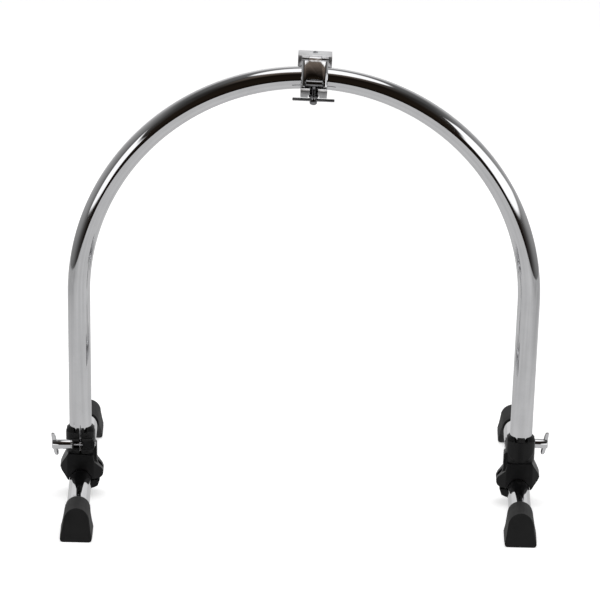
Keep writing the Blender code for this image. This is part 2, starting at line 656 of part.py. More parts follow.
def hoop_bracket():
    """Rear plate with a flange above, a shelf below and a fork under the tube."""
    front = CLAMP_CLEAR
    back = PLATE_BACK
    top = FLANGE_TOP
    under = -PLATE_BACK
    wide = [(FLANGE_BACK, top), (front + 0.002, top), (front, top - 0.002), (front, under + 0.001),
            (front + 0.001, under), (SHELF_BACK, under), (SHELF_BACK, under + PLATE),
            (back, under + PLATE), (back, top - PLATE), (FLANGE_BACK, top - PLATE)]
    plan = [(-BACK_HALF, -0.1), (BACK_HALF, -0.1)]
    plan += arc((BACK_HALF - CORNER, FLANGE_BACK - CORNER), CORNER, 0, 90, 5)
    plan += arc((-BACK_HALF + CORNER, FLANGE_BACK - CORNER), CORNER, 90, 180, 5)
    shelf_plan = [(a, b + (SHELF_BACK - FLANGE_BACK if b > 0 else 0)) for a, b in plan]
    upper = merged(prism(wide, -BACK_HALF, BACK_HALF, "x"), "INTERSECT",
                   prism(shelf_plan, -0.05, 0.05, "z"))
    pin = (-CROSS_PIN_FRONT, -CROSS_PIN_DROP)
    sweep = PLATE_BACK - CROSS_PIN_DROP
    lip = math.degrees(math.acos((FORK_FRONT - CROSS_PIN_FRONT) / sweep))
    fork = [(front + 0.001, under), (front + 0.001, under + PLATE), (-TUBE_R, under + PLATE),
            (-TUBE_R - 0.0025, FORK_TOP - 0.0015), (-TUBE_R - 0.0045, FORK_TOP),
            (-FORK_FRONT + 0.0025, FORK_TOP), (-FORK_FRONT, FORK_TOP - 0.0025)]
    fork += arc(pin, sweep, 180 + lip, 270, 6)
    horn_sweep = sweep + HORN_DROP
    start = math.degrees(math.acos((FORK_FRONT - CROSS_PIN_FRONT) / horn_sweep))
    end = math.degrees(math.asin((CROSS_PIN_FRONT - TUBE_R) / horn_sweep))
    horn = [(-TUBE_R, under + 0.001), (-FORK_FRONT, FORK_TOP - 0.0035)]
    horn += arc(pin, horn_sweep, 180 + start, 270 + end, 8)
    slot_end = -CROSS_PIN_FRONT + SWING_BOLT_OD / 2 + GAP - FORK_SLOT_HALF
    slot = [(FORK_SLOT_HALF, -0.06), (FORK_SLOT_HALF, slot_end)]
    slot += arc((0, slot_end), FORK_SLOT_HALF, 0, 180, 10)[1:]
    slot += [(-FORK_SLOT_HALF, -0.06)]
    hinge = (HINGE_BACK, HINGE_HEIGHT)
    arm = arc(hinge, KNUCKLE_RADIUS, 90, 270, 10)
    arm += [(front + 0.001, HINGE_HEIGHT - KNUCKLE_RADIUS - 0.002), (front + 0.001, top - 0.0005)]
    boss_low = top - PLATE - HOOP_BOSS_DEPTH
    boss = rod(HOOP_BOSS_OD / 2, boss_low, top - PLATE / 2, "z", 24, (0, HOOP_SCREW_BACK))
    steps = [("UNION", prism(fork, -HALF_WIDTH, HALF_WIDTH, "x"))]
    for side in (-1, 1):
        low, high = sorted((side * (KNUCKLE_HALF + GAP), side * HALF_WIDTH))
        steps.append(("UNION", prism(arm, low, high, "x")))
        low, high = sorted((side * (T_WASHER_OD / 2 + HORN_GAP), side * (HALF_WIDTH - 0.0002)))
        steps.append(("UNION", prism(horn, low, high, "x")))
    steps += [
        ("UNION", boss),
        ("DIFFERENCE", prism(slot, 2 * under, FORK_TOP + 0.004, "z")),
        ("DIFFERENCE", rod(PIN_OD / 2 + GAP, -0.03, 0.03, "x", 16, hinge)),
        ("DIFFERENCE", rod(HOOP_SCREW_OD / 2 + GAP, 0, 0.05, "z", 20, (0, HOOP_SCREW_BACK))),
        ("DIFFERENCE", tube_room()),
    ]
    return carved("hoop_bracket", upper, steps)


def web_frame(shape):
    """Turn a shape built with Z up the web and Y behind it onto the leaning web."""
    shape.transform(Matrix.Rotation(-WEB_LEAN, 4, "X"))
    return shape


def channel():
    """A folded channel that leans over the tube and hangs on the hinge pin."""
    lean_in = Vector((-math.cos(WEB_LEAN), math.sin(WEB_LEAN)))
    up = Vector((math.sin(WEB_LEAN), math.cos(WEB_LEAN)))
    hinge = Vector((HINGE_BACK, HINGE_HEIGHT))
    clear = KNUCKLE_RADIUS + WEB_STOP
    rise = hinge.dot(up) - math.sqrt(clear ** 2 - (WEB_BACK - hinge.dot(lean_in)) ** 2)
    web_top = lean_in * WEB_FRONT + up * rise
    web_low = lean_in * WEB_FRONT - up * (CROSS_PIN_DROP + 0.0021 + lean_in[1] * WEB_FRONT) / up[1]
    bottom = -CROSS_PIN_DROP - 0.0051
    side_view = [tuple(web_top), tuple(web_low), (-CROSS_PIN_FRONT - 0.0035, bottom),
                 (-CROSS_PIN_FRONT + 0.0025, bottom), (-TUBE_R, -CROSS_PIN_DROP - 0.0031), (0, 0),
                 (-0.0010, TUBE_R), (-0.0010, HINGE_HEIGHT - clear - 0.0005),
                 tuple(lean_in * WEB_BACK + up * rise)]
    section = [(HALF_WIDTH, 0.03), (-HALF_WIDTH, 0.03)]
    section += arc((-HALF_WIDTH + BEND, -WEB_FRONT + BEND), BEND, 180, 270, 5)
    section += arc((HALF_WIDTH - BEND, -WEB_FRONT + BEND), BEND, 270, 360, 5)
    folded = merged(prism(side_view, -HALF_WIDTH, HALF_WIDTH, "x"), "INTERSECT",
                    web_frame(prism(section, -0.05, 0.05, "z")))
    inner = HALF_WIDTH - WEB
    hollow = web_frame(box((-inner, -WEB_BACK, -0.05), (inner, 0.03, 0.05)))
    knuckle = arc(hinge, KNUCKLE_RADIUS, -90, 180 - math.degrees(WEB_LEAN), 14)
    knuckle += [tuple(web_top - up * 0.0004), tuple(web_top - up * 0.0008 - lean_in * 0.0004),
                tuple(web_top - up * 0.0030 - lean_in * (WEB - 0.0004))]
    archway = [(ARCHWAY_HALF, -0.03)]
    for step in range(17):
        angle = math.pi * step / 16
        archway.append((ARCHWAY_HALF * math.cos(angle), ARCHWAY_SPRING + ARCHWAY_RISE * math.sin(angle)))
    archway.append((-ARCHWAY_HALF, -0.03))
    pin = (-CROSS_PIN_FRONT, -CROSS_PIN_DROP)
    return carved("channel", folded, [
        ("DIFFERENCE", hollow),
        ("UNION", prism(knuckle, -KNUCKLE_HALF, KNUCKLE_HALF, "x")),
        ("DIFFERENCE", prism(archway, -0.05, -0.005, "y")),
        ("DIFFERENCE", rod(PIN_OD / 2 + GAP, -0.03, 0.03, "x", 16, hinge)),
        ("DIFFERENCE", rod(PIN_OD / 2 + GAP, -0.03, 0.03, "x", 16, pin)),
        ("DIFFERENCE", tube_room()),
    ])


def swing_bolt():
    """Bolt with a wide barrel head that hangs from the cross pin, built about the pin."""
    shank = rod(SWING_BOLT_OD / 2, -SWING_BOLT_LENGTH, -HEAD_RADIUS * 0.6, "z", 16, chamfer=0.0005)
    head = rod(HEAD_RADIUS, -HEAD_HALF, HEAD_HALF, "x", 24, chamfer=HEAD_CHAMFER)
    bore = rod(PIN_OD / 2 + GAP, -0.02, 0.02, "x", 16)
    return carved("swing_bolt", head, [("UNION", shank), ("DIFFERENCE", bore)])


def t_nut(top):
    """Round hub, closed below, with a bar across it, built about the swing bolt's pin."""
    hub = T_HUB_OD / 2
    low = top - T_HUB_LENGTH
    round_end = [(hub * math.cos(a), low + hub * 0.6 - hub * 0.6 * math.sin(a)) for a in
                 [math.pi / 2 * step / 5 for step in range(5)]]
    profile = [(0, top), (hub, top)] + round_end + [(0, low)]
    bar = rod(T_BAR_OD / 2, -T_BAR_LENGTH / 2, T_BAR_LENGTH / 2, "x", 14, (0, top - T_BAR_DROP),
              chamfer=0.0006)
    bore = rod(SWING_BOLT_OD / 2 + GAP, low + 0.0014, top + 0.01, "z", 16)
    return carved("t_nut", turned(profile, "z", 20), [("UNION", bar), ("DIFFERENCE", bore)])


def hoop_screw(low, high):
    """Set screw with a hex socket, built along its own axis."""
    tip = 0.0008
    radius = HOOP_SCREW_OD / 2
    profile = [(0, low), (radius - tip, low), (radius, low + tip), (radius, high - 0.0004),
               (radius - 0.0004, high), (0, high)]
    socket = hexagon(0.0015, high - 0.003, high + 0.001, "z")
    return carved("hoop_screw", turned(profile, "z", 20), [("DIFFERENCE", socket)])


def swivel_foot(low):
    """Round foot that turns on the end of the hoop screw."""
    radius = SWIVEL_OD / 2
    high = low + SWIVEL_HEIGHT
    neck = HOOP_SCREW_OD / 2 + 0.0018
    bore = HOOP_SCREW_OD / 2 + GAP
    floor = high - SWIVEL_SOCKET
    profile = [(0, low), (radius - 0.0004, low), (radius, low + 0.0004), (radius, low + 0.0016),
               (neck, low + 0.0028), (neck, high), (bore, high), (bore, floor), (0, floor)]
    return turned(profile, "z", 24)


def hoop_clamp(chrome, steel, rubber):
    """The clamp at the top of the arch, with the swing bolt in front and the hoop screw behind."""
    turn = frame("hoop_clamp_turn", ARCH_CENTRE, (0, HOOP_TURN, 0))
    clamp = frame("hoop_clamp_frame", (0, 0, ARCH_RADIUS), (0, 0, 0), turn)
    piece("hoop_bracket", hoop_bracket(), chrome, clamp)
    piece("channel", channel(), chrome, clamp)
    half_pin = HALF_WIDTH - GAP
    pin = to_mesh(rod(PIN_OD / 2, -half_pin, half_pin, "x", 16, chamfer=0.0004), "pin")
    piece("hinge_pin", pin, steel, clamp, (0, HINGE_BACK, HINGE_HEIGHT))
    piece("cross_pin", pin, steel, clamp, (0, -CROSS_PIN_FRONT, -CROSS_PIN_DROP))

    swing = (0, -CROSS_PIN_FRONT, -CROSS_PIN_DROP)
    piece("swing_bolt", swing_bolt(), chrome, clamp, swing)
    ring = washer(SWING_BOLT_OD / 2 + GAP, T_WASHER_OD / 2, -T_SEAT - T_WASHER_THICKNESS, -T_SEAT, "z")
    piece("t_nut_washer", ring, chrome, clamp, swing)
    piece("t_nut", t_nut(-T_SEAT - T_WASHER_THICKNESS - GAP), chrome, clamp, swing)

    shelf = -CLAMP_CLEAR
    lower_top = shelf + GAP + PAD_THICKNESS
    upper_low = lower_top + HOOP_JAW_OPEN
    swivel_low = upper_low + PAD_THICKNESS + GAP
    screw_low = swivel_low + SWIVEL_HEIGHT - SWIVEL_SOCKET + GAP
    screw = (0, HOOP_SCREW_BACK, 0)
    soft = 0.0030
    depth = (PLATE_BACK + 0.0015, SHELF_BACK - 0.0015)
    plan = arc((LOWER_PAD_HALF - soft, depth[1] - soft), soft, 0, 90, 4)
    plan += arc((-LOWER_PAD_HALF + soft, depth[1] - soft), soft, 90, 180, 4)
    plan += [(-LOWER_PAD_HALF, depth[0]), (LOWER_PAD_HALF, depth[0])]
    piece("lower_pad", prism(plan, shelf + GAP, lower_top, "z"), rubber, clamp)
    upper = rod(SWIVEL_OD / 2 - 0.0003, upper_low, upper_low + PAD_THICKNESS, "z", 24)
    piece("upper_pad", upper, rubber, clamp, screw)
    piece("swivel_foot", swivel_foot(swivel_low), steel, clamp, screw)
    piece("hoop_screw", hoop_screw(screw_low, FLANGE_TOP + HOOP_SCREW_PROUD), steel, clamp, screw)


def main():
    clear_scene()
    chrome = finish("chrome", (0.80, 0.80, 0.82), 0.06, 1.0)
    steel = finish("zinc_steel", (0.55, 0.56, 0.58), 0.28, 1.0)
    black = finish("black_paint", (0.018, 0.018, 0.020), 0.42, 0.0)
    nylon = finish("nylon", (0.030, 0.030, 0.032), 0.50, 0.0)
    rubber = finish("rubber", (0.012, 0.012, 0.013), 0.72, 0.0)
    arch = frame("arch_frame", ARCH_CENTRE)
    piece("arch_tube", arch_tube(), chrome, arch)
    leg_clamps(black, nylon, chrome, steel, rubber)
    hoop_clamp(chrome, steel, rubber)
    bpy.context.view_layer.update()


main()
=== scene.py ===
# Drum docking frame: the finish of every surface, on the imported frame.
# Metres, +Z up, the front faces -Y.

import json
import math

import bmesh
import bpy
from mathutils import Matrix, Vector


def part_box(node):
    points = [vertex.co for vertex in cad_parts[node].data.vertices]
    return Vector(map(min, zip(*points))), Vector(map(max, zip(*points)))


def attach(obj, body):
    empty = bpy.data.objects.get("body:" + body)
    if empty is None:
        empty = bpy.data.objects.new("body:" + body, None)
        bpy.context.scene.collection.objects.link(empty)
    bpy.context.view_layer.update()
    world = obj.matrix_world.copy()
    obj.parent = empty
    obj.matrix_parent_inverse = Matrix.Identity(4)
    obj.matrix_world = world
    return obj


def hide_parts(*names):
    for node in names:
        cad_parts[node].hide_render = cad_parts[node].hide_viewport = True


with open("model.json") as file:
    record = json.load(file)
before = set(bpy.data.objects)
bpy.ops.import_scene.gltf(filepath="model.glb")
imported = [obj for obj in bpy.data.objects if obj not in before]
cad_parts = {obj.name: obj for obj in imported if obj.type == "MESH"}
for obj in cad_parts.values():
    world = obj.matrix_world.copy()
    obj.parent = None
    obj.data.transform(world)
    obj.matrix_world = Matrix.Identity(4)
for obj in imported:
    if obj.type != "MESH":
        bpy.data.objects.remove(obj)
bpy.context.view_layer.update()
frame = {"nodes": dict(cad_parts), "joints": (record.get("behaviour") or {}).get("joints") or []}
scene = bpy.context.scene
scene.view_settings.view_transform = "Standard"

# Camera
# A long lens far in front and a little above, turned and rolled as the photo's was.
# Its place is measured in arch radii from the centre of the arch, and its angles in degrees.
arch_radius = 0.300
eye_place = Vector((-0.034, -29.587, 9.652))
eye_turn = -0.04
eye_tilt = 18.13
eye_roll = 1.3
arch_low, arch_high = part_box("arch_tube")
tube_radius = (arch_high[1] - arch_low[1]) / 2
arch_centre = Vector((0, (arch_low[1] + arch_high[1]) / 2, arch_high[2] - tube_radius - arch_radius))
eye = bpy.data.cameras.new("camera")
eye.sensor_width = 36.0
eye.lens = 420.25
eye.shift_x = -0.0012
eye.shift_y = 0.0015
eye.clip_end = 50.0
camera = bpy.data.objects.new("camera", eye)
camera.matrix_world = (
    Matrix.Translation(arch_centre + arch_radius * eye_place)
    @ Matrix.Rotation(math.radians(eye_turn), 4, "Z")
    @ Matrix.Rotation(math.radians(90 - eye_tilt), 4, "X")
    @ Matrix.Rotation(math.radians(eye_roll), 4, "Z")
)
scene.collection.objects.link(camera)
scene.camera = camera


# Studio
# A white table under the frame, a dark room in front of it and a paler one behind,
# with one softbox overhead and one at each side, as the plating mirrors them.
# High in front the room has a faint warm glow. Angles are in degrees.
table_reach = 1.75
table_glow = 0.56
table_edge_glow = 0.40          # towards the sides, past the legs
table_fall_from, table_fall_to = 0.65, 1.25
table_cloud = 0.22              # how uneven the table's glow is
floor_half = 12.0
floor_colour = (0.80, 0.80, 0.80, 1)
floor_seen_glow = 0.55          # lifts the floor to white, for the camera alone
softbox = 1.28
softbox_edge = 1.6
in_degrees = 57.2958
rise_below, rise_range = 20, 110        # the height ramp runs from 20 below the horizon to overhead
glow_colour = (0.150, 0.120, 0.098)
glow_from, glow_to = 44.0, 66.0         # height above the horizon
glow_ends, glow_full = 70.0, 35.0       # how far aside
glow_power = 1.7
box_overhead = (Vector((0.07, 0.05, 1)), 22.5)
box_left = [(1, 0, 61), (-1, 0, -25), (0.19, 1, 9.7), (-0.66, -1, -10.5)]
box_right = [(1, 0, -24), (-0.24, 1, 11.0), (0.91, -1, -14.7), (0, -1, 38), (-1, -1, 114)]


def empty_tree(block):
    block.use_nodes = True
    block.node_tree.nodes.clear()
    return block.node_tree


def put(tree, kind, settings=None, **sockets):
    """A node with its settings, and its sockets set to a value or linked to an output."""
    node = tree.nodes.new(kind)
    for name, value in (settings or {}).items():
        setattr(node, name, value)
    for name, value in sockets.items():
        place = int(name[1:]) if name[0] == "_" else name.replace("_", " ")
        if isinstance(value, bpy.types.NodeSocket):
            tree.links.new(value, node.inputs[place])
        else:
            node.inputs[place].default_value = value
    return node


def calc(tree, operation, *values):
    node = put(tree, "ShaderNodeMath", {"operation": operation},
               **{f"_{index}": value for index, value in enumerate(values)})
    return node.outputs[0]


def ramp(tree, value, stops):
    """A value carried through a colour ramp of (place, colour) stops."""
    node = put(tree, "ShaderNodeValToRGB", _0=value)
    while len(node.color_ramp.elements) < len(stops):
        node.color_ramp.elements.new(0.5)
    for element, (place, colour) in zip(node.color_ramp.elements, stops):
        element.position = place
        element.color = (*colour, 1)
    return node.outputs[0]


def soft_step(tree, value, half_width):
    return put(tree, "ShaderNodeMapRange", {"interpolation_type": "SMOOTHSTEP"}, _0=value,
               _1=-half_width, _2=half_width, _3=0.0, _4=1.0).outputs[0]


def lit_area(tree, turn, rise, edges):
    """1 inside straight edges (a, b, c), where a * turn + b * rise + c is above zero, in degrees."""
    area = None
    for a, b, c in edges:
        height = calc(tree, "MULTIPLY_ADD", rise, b, c)
        edge = soft_step(tree, calc(tree, "MULTIPLY_ADD", turn, a, height), softbox_edge)
        area = edge if area is None else calc(tree, "MULTIPLY", area, edge)
    return area


def studio_world():
    world = bpy.data.worlds.new("studio")
    tree = empty_tree(world)
    direction = put(tree, "ShaderNodeTexCoord").outputs["Generated"]
    parts = put(tree, "ShaderNodeSeparateXYZ", _0=direction)
    ahead = calc(tree, "MULTIPLY", parts.outputs["Y"], -1.0)
    turn = calc(tree, "MULTIPLY", calc(tree, "ARCTAN2", parts.outputs["X"], ahead), in_degrees)
    rise = calc(tree, "MULTIPLY", calc(tree, "ARCSINE", parts.outputs["Z"]), in_degrees)
    around = ramp(tree, calc(tree, "DIVIDE", calc(tree, "ABSOLUTE", turn), 180.0), [
        (0.00, (0.013, 0.009, 0.006)),
        (0.16, (0.016, 0.012, 0.009)),
        (0.30, (0.078, 0.075, 0.073)),
        (0.50, (0.290, 0.290, 0.288)),
        (0.70, (0.400, 0.400, 0.398)),
        (0.84, (0.560, 0.560, 0.560)),
        (1.00, (1.000, 1.000, 1.000)),
    ])
    height = ramp(tree, calc(tree, "MULTIPLY_ADD", rise, 1 / rise_range, rise_below / rise_range), [
        (0.03, (0.25, 0.25, 0.25)),
        (0.09, (0.60, 0.60, 0.60)),
        (0.22, (1.00, 1.00, 1.00)),
        (0.48, (0.80, 0.80, 0.80)),
        (0.62, (0.30, 0.30, 0.30)),
        (0.78, (0.34, 0.34, 0.34)),
    ])
    paler = put(tree, "ShaderNodeVectorMath", {"operation": "MULTIPLY"}, _0=around, _1=height).outputs[0]
    climb = put(tree, "ShaderNodeMapRange", _0=rise, _1=glow_from, _2=glow_to, _3=0.0, _4=1.0).outputs[0]
    facing = put(tree, "ShaderNodeMapRange", _0=calc(tree, "ABSOLUTE", turn), _1=glow_ends, _2=glow_full,
                 _3=0.0, _4=1.0).outputs[0]
    warm = put(tree, "ShaderNodeVectorMath", {"operation": "SCALE"}, _0=glow_colour,
               Scale=calc(tree, "MULTIPLY", calc(tree, "POWER", climb, glow_power), facing)).outputs[0]
    room = put(tree, "ShaderNodeVectorMath", {"operation": "ADD"}, _0=paler, _1=warm).outputs[0]
    centre, half_angle = box_overhead
    above = put(tree, "ShaderNodeVectorMath", {"operation": "DOT_PRODUCT"}, _0=direction,
                _1=centre.normalized()).outputs["Value"]
    off_centre = calc(tree, "MULTIPLY", calc(tree, "ARCCOSINE", above), -in_degrees)
    lit = soft_step(tree, calc(tree, "ADD", off_centre, half_angle), softbox_edge)
    for edges in (box_left, box_right):
        lit = calc(tree, "MAXIMUM", lit, lit_area(tree, turn, rise, edges))
    colour = put(tree, "ShaderNodeMix", {"data_type": "RGBA"}, _0=lit, _6=room,
                 _7=(softbox, softbox, softbox, 1)).outputs[2]
    studio = put(tree, "ShaderNodeBackground", Color=colour, Strength=1.0)
    white = put(tree, "ShaderNodeBackground", Color=(1, 1, 1, 1), Strength=1.0)
    rays = put(tree, "ShaderNodeLightPath")
    mix = put(tree, "ShaderNodeMixShader", _0=rays.outputs["Is Camera Ray"], _1=studio.outputs[0],
              _2=white.outputs[0])
    put(tree, "ShaderNodeOutputWorld", _0=mix.outputs[0])
    scene.world = world


def studio_floor():
    half = floor_half
    mesh = bpy.data.meshes.new("floor")
    mesh.from_pydata([(-half, -half, 0), (half, -half, 0), (half, half, 0), (-half, half, 0)], [],
                     [(0, 1, 2, 3)])
    floor = bpy.data.objects.new("floor", mesh)
    scene.collection.objects.link(floor)
    paint = bpy.data.materials.new("floor_paint")
    tree = empty_tree(paint)
    rays = put(tree, "ShaderNodeLightPath")
    place = put(tree, "ShaderNodeTexCoord").outputs["Object"]
    distance = put(tree, "ShaderNodeVectorMath", {"operation": "LENGTH"}, _0=place).outputs["Value"]
    cloud = put(tree, "ShaderNodeTexNoise", Vector=place, Scale=2.4, Detail=1.0)
    aside = calc(tree, "ABSOLUTE", put(tree, "ShaderNodeSeparateXYZ", _0=place).outputs["X"])
    falling = put(tree, "ShaderNodeMapRange", {"interpolation_type": "SMOOTHSTEP"}, _0=aside,
                  _1=table_fall_from, _2=table_fall_to, _3=table_glow - table_cloud / 2,
                  _4=table_edge_glow - table_cloud / 2).outputs[0]
    mirrored = calc(tree, "MULTIPLY_ADD", cloud.outputs[0], table_cloud, falling)
    table = put(tree, "ShaderNodeEmission", Color=(1, 1, 1, 1), Strength=mirrored)
    away = put(tree, "ShaderNodeBsdfTransparent")
    past = soft_step(tree, calc(tree, "SUBTRACT", distance, table_reach), 0.04)
    polished = put(tree, "ShaderNodeMixShader", _0=past, _1=table.outputs[0], _2=away.outputs[0])
    matt = put(tree, "ShaderNodeBsdfDiffuse", Color=floor_colour)
    seen = calc(tree, "MULTIPLY", rays.outputs["Is Camera Ray"], floor_seen_glow)
    glow = put(tree, "ShaderNodeEmission", Color=(1, 1, 1, 1), Strength=seen)
    paper = put(tree, "ShaderNodeAddShader", _0=matt.outputs[0], _1=glow.outputs[0])
    surface = put(tree, "ShaderNodeMixShader", _0=rays.outputs["Is Glossy Ray"], _1=paper.outputs[0],
                  _2=polished.outputs[0])
    put(tree, "ShaderNodeOutputMaterial", _0=surface.outputs[0])
    mesh.materials.append(paint)


def lamp(name, place, aim, size, power):
    light = bpy.data.lights.new(name, "AREA")
    light.shape = "RECTANGLE"
    light.size, light.size_y = size
    light.energy = power
    body = bpy.data.objects.new(name, light)
    scene.collection.objects.link(body)
    facing = (Vector(aim) - Vector(place)).to_track_quat("-Z", "Y")
    body.matrix_world = Matrix.Translation(place) @ facing.to_matrix().to_4x4()
    body.visible_glossy = False


studio_world()
studio_floor()
lamp("softbox_over", (0, 0.3, 2.6), (0, 0, 0.2), (3.0, 1.6), 34)
lamp("softbox_left", (-2.4, -1.2, 1.6), (0, 0, 0.25), (1.4, 1.4), 8)


# Arch tube
# One steel tube of 30 mm, bent a little past half a turn, polished and chrome plated.
# A row of points down its middle is swept with a round section.
chrome_colour = (0.80, 0.80, 0.815)
chrome_dull = (0.74, 0.74, 0.755)
bend_steps = 160
tube_sides = 96


def shader_group(name, inputs, outputs):
    """An empty shader group with named sockets, and its two end nodes."""
    group = bpy.data.node_groups.new(name, "ShaderNodeTree")
    for label, value in inputs:
        socket = group.interface.new_socket(label, in_out="INPUT", socket_type="NodeSocketFloat")
        socket.default_value = value
    for label, kind in outputs:
        group.interface.new_socket(label, in_out="OUTPUT", socket_type=kind)
    return group, group.nodes.new("NodeGroupInput"), group.nodes.new("NodeGroupOutput")


def handling_marks():
    """Faint smears left by handling, as a roughness and a mask."""
    group, given, out = shader_group(
        "handling_marks", [("Base", 0.04), ("Smear", 0.05), ("Scale", 30.0)],
        [("Roughness", "NodeSocketFloat"), ("Mask", "NodeSocketFloat")])
    place = put(group, "ShaderNodeTexCoord").outputs["Object"]
    cloud = put(group, "ShaderNodeTexNoise", Vector=place, Scale=given.outputs["Scale"], Detail=6.0,
                Roughness=0.62)
    shape = put(group, "ShaderNodeMapRange", _0=cloud.outputs[0], _1=0.42, _2=0.78, _3=0.0, _4=1.0)
    rough = calc(group, "MULTIPLY_ADD", shape.outputs[0], given.outputs["Smear"], given.outputs["Base"])
    group.links.new(rough, out.inputs["Roughness"])
    group.links.new(shape.outputs[0], out.inputs["Mask"])
    return group


marks = handling_marks()


def plated(name, colour, dull, roughness, smear):
    """Plated steel: bright, a little darker and duller where it has been handled."""
    made = bpy.data.materials.new(name)
    tree = empty_tree(made)
    worn = put(tree, "ShaderNodeGroup", {"node_tree": marks}, Base=roughness, Smear=smear)
    tone = put(tree, "ShaderNodeMix", {"data_type": "RGBA"}, _0=worn.outputs["Mask"],
               _6=(*colour, 1), _7=(*dull, 1))
    shader = put(tree, "ShaderNodeBsdfPrincipled", Metallic=1.0, Base_Color=tone.outputs[2],
                 Roughness=worn.outputs["Roughness"])
    put(tree, "ShaderNodeOutputMaterial", _0=shader.outputs[0])
    return made


chrome = plated("chrome", chrome_colour, chrome_dull, roughness=0.035, smear=0.05)


def growing_tree(name, inputs):
    """An empty geometry node tree with named inputs, and its two end nodes."""
    tree = bpy.data.node_groups.new(name, "GeometryNodeTree")
    tree.interface.new_socket("Geometry", in_out="INPUT", socket_type="NodeSocketGeometry")
    for label, kind in inputs:
        tree.interface.new_socket(label, in_out="INPUT", socket_type="NodeSocket" + kind)
    tree.interface.new_socket("Geometry", in_out="OUTPUT", socket_type="NodeSocketGeometry")
    return tree, tree.nodes.new("NodeGroupInput"), tree.nodes.new("NodeGroupOutput")


def finished(tree, geometry, given, out):
    """Realize the instances, set the material and hand the geometry out."""
    real = put(tree, "GeometryNodeRealizeInstances", Geometry=geometry)
    paint = put(tree, "GeometryNodeSetMaterial", Geometry=real.outputs[0], Material=given.outputs["Material"])
    tree.links.new(paint.outputs[0], out.inputs["Geometry"])


def sweep_tree():
    """A round section swept along a row of points."""
    tree, given, out = growing_tree("swept_bar", [("Radius", "Float"), ("Sides", "Int"),
                                                  ("Material", "Material")])
    line = put(tree, "GeometryNodeMeshToCurve", Mesh=given.outputs["Geometry"])
    section = put(tree, "GeometryNodeCurvePrimitiveCircle", Radius=given.outputs["Radius"],
                  Resolution=given.outputs["Sides"])
    sweep = put(tree, "GeometryNodeCurveToMesh", Curve=line.outputs[0], Profile_Curve=section.outputs[0],
                Fill_Caps=True)
    finished(tree, sweep.outputs[0], given, out)
    return tree


def grown(name, mesh, tree, values):
    """The plain mesh that a geometry node tree makes from a mesh and named values."""
    seed = bpy.data.objects.new(name + "_seed", mesh)
    scene.collection.objects.link(seed)
    modifier = seed.modifiers.new(name, "NODES")
    modifier.node_group = tree
    for item in tree.interface.items_tree:
        if item.in_out == "INPUT" and item.name in values:
            modifier[item.identifier] = values[item.name]
    seed.update_tag()
    bpy.context.view_layer.update()
    graph = bpy.context.evaluated_depsgraph_get()
    made = bpy.data.meshes.new_from_object(seed.evaluated_get(graph))
    bpy.data.objects.remove(seed)
    return made


def closed(mesh):
    """Close the seams and ends of a mesh and turn its faces outward."""
    work = bmesh.new()
    work.from_mesh(mesh)
    bmesh.ops.remove_doubles(work, verts=work.verts, dist=1e-6)
    bmesh.ops.holes_fill(work, edges=[edge for edge in work.edges if edge.is_boundary], sides=0)
    bmesh.ops.recalc_face_normals(work, faces=work.faces)
    work.to_mesh(mesh)
    work.free()
    return mesh


def piece_of(name, meshes, material, angle=40):
    """One object from one or more meshes, shaded smooth up to an angle."""
    work = bmesh.new()
    for mesh in meshes:
        work.from_mesh(mesh)
    whole = bpy.data.meshes.new(name)
    work.to_mesh(whole)
    work.free()
    whole.materials.append(material)
    for face in whole.polygons:
        face.material_index = 0
    whole.shade_smooth()
    whole.set_sharp_from_angle(angle=math.radians(angle))
    made = bpy.data.objects.new(name, whole)
    scene.collection.objects.link(made)
    return made


def settle(made, nodes, body):
    """Put a finished piece in the place of its CAD nodes."""
    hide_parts(*nodes)
    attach(made, body)


def joint(name):
    return next(item for item in frame["joints"] if item["name"] == name)


swept_bar = sweep_tree()


def bar(name, points, radius, material):
    line = bpy.data.meshes.new(name)
    line.from_pydata(points, [(i, i + 1) for i in range(len(points) - 1)], [])
    skin = grown(name, line, swept_bar, {"Radius": radius, "Sides": tube_sides, "Material": material})
    return piece_of(name, [closed(skin)], material)


def arch_points():
    """Points down the middle of the arch: a leg, the bend and the other leg."""
    slant = joint("right_height")["axis"]
    toe_in = math.atan2(-slant[0], -slant[2])
    points = []
    for step in range(bend_steps + 1):
        angle = -toe_in + (math.pi + 2 * toe_in) * step / bend_steps
        points.append(arch_centre + arch_radius * Vector((math.cos(angle), 0, math.sin(angle))))
    length = (points[0].z - arch_low[2] - tube_radius * math.sin(toe_in)) / math.cos(toe_in)
    right = points[0] + length * Vector(slant)
    left = points[-1] + length * Vector((-slant[0], 0, slant[2]))
    return [right] + points + [left]


settle(bar("arch", arch_points(), tube_radius, chrome), ["arch_tube"], "arch")


# Leg clamps
# Die-cast bodies and hooked jaws with a satin black coat, over thin moulded nylon sleeves.
# The castings have soft corners all over, and their edges are painted paler: partly the coat rubbed thin,
# partly a painted sheen.
# A square nut sits in the far ear of each collar.
coat_colour = (0.0045, 0.0045, 0.005)
# paler edge colour: rubbed coat and a painted sheen along the edges
coat_worn_and_sheen = (0.017, 0.017, 0.018)
nylon_colour = (0.016, 0.016, 0.017)
nylon_worn_and_sheen = (0.030, 0.030, 0.032)
casting_voxel = 0.00042
casting_rounds = 7
casting_angle = 60              # degrees, below which a casting is shaded smooth
sharp_angle = 32                # degrees, from which an edge is rounded over
fine_edge = 0.0002              # on sleeves, washers, pins and the set screw
head_edge = 0.0003              # on nuts and the heads of screws
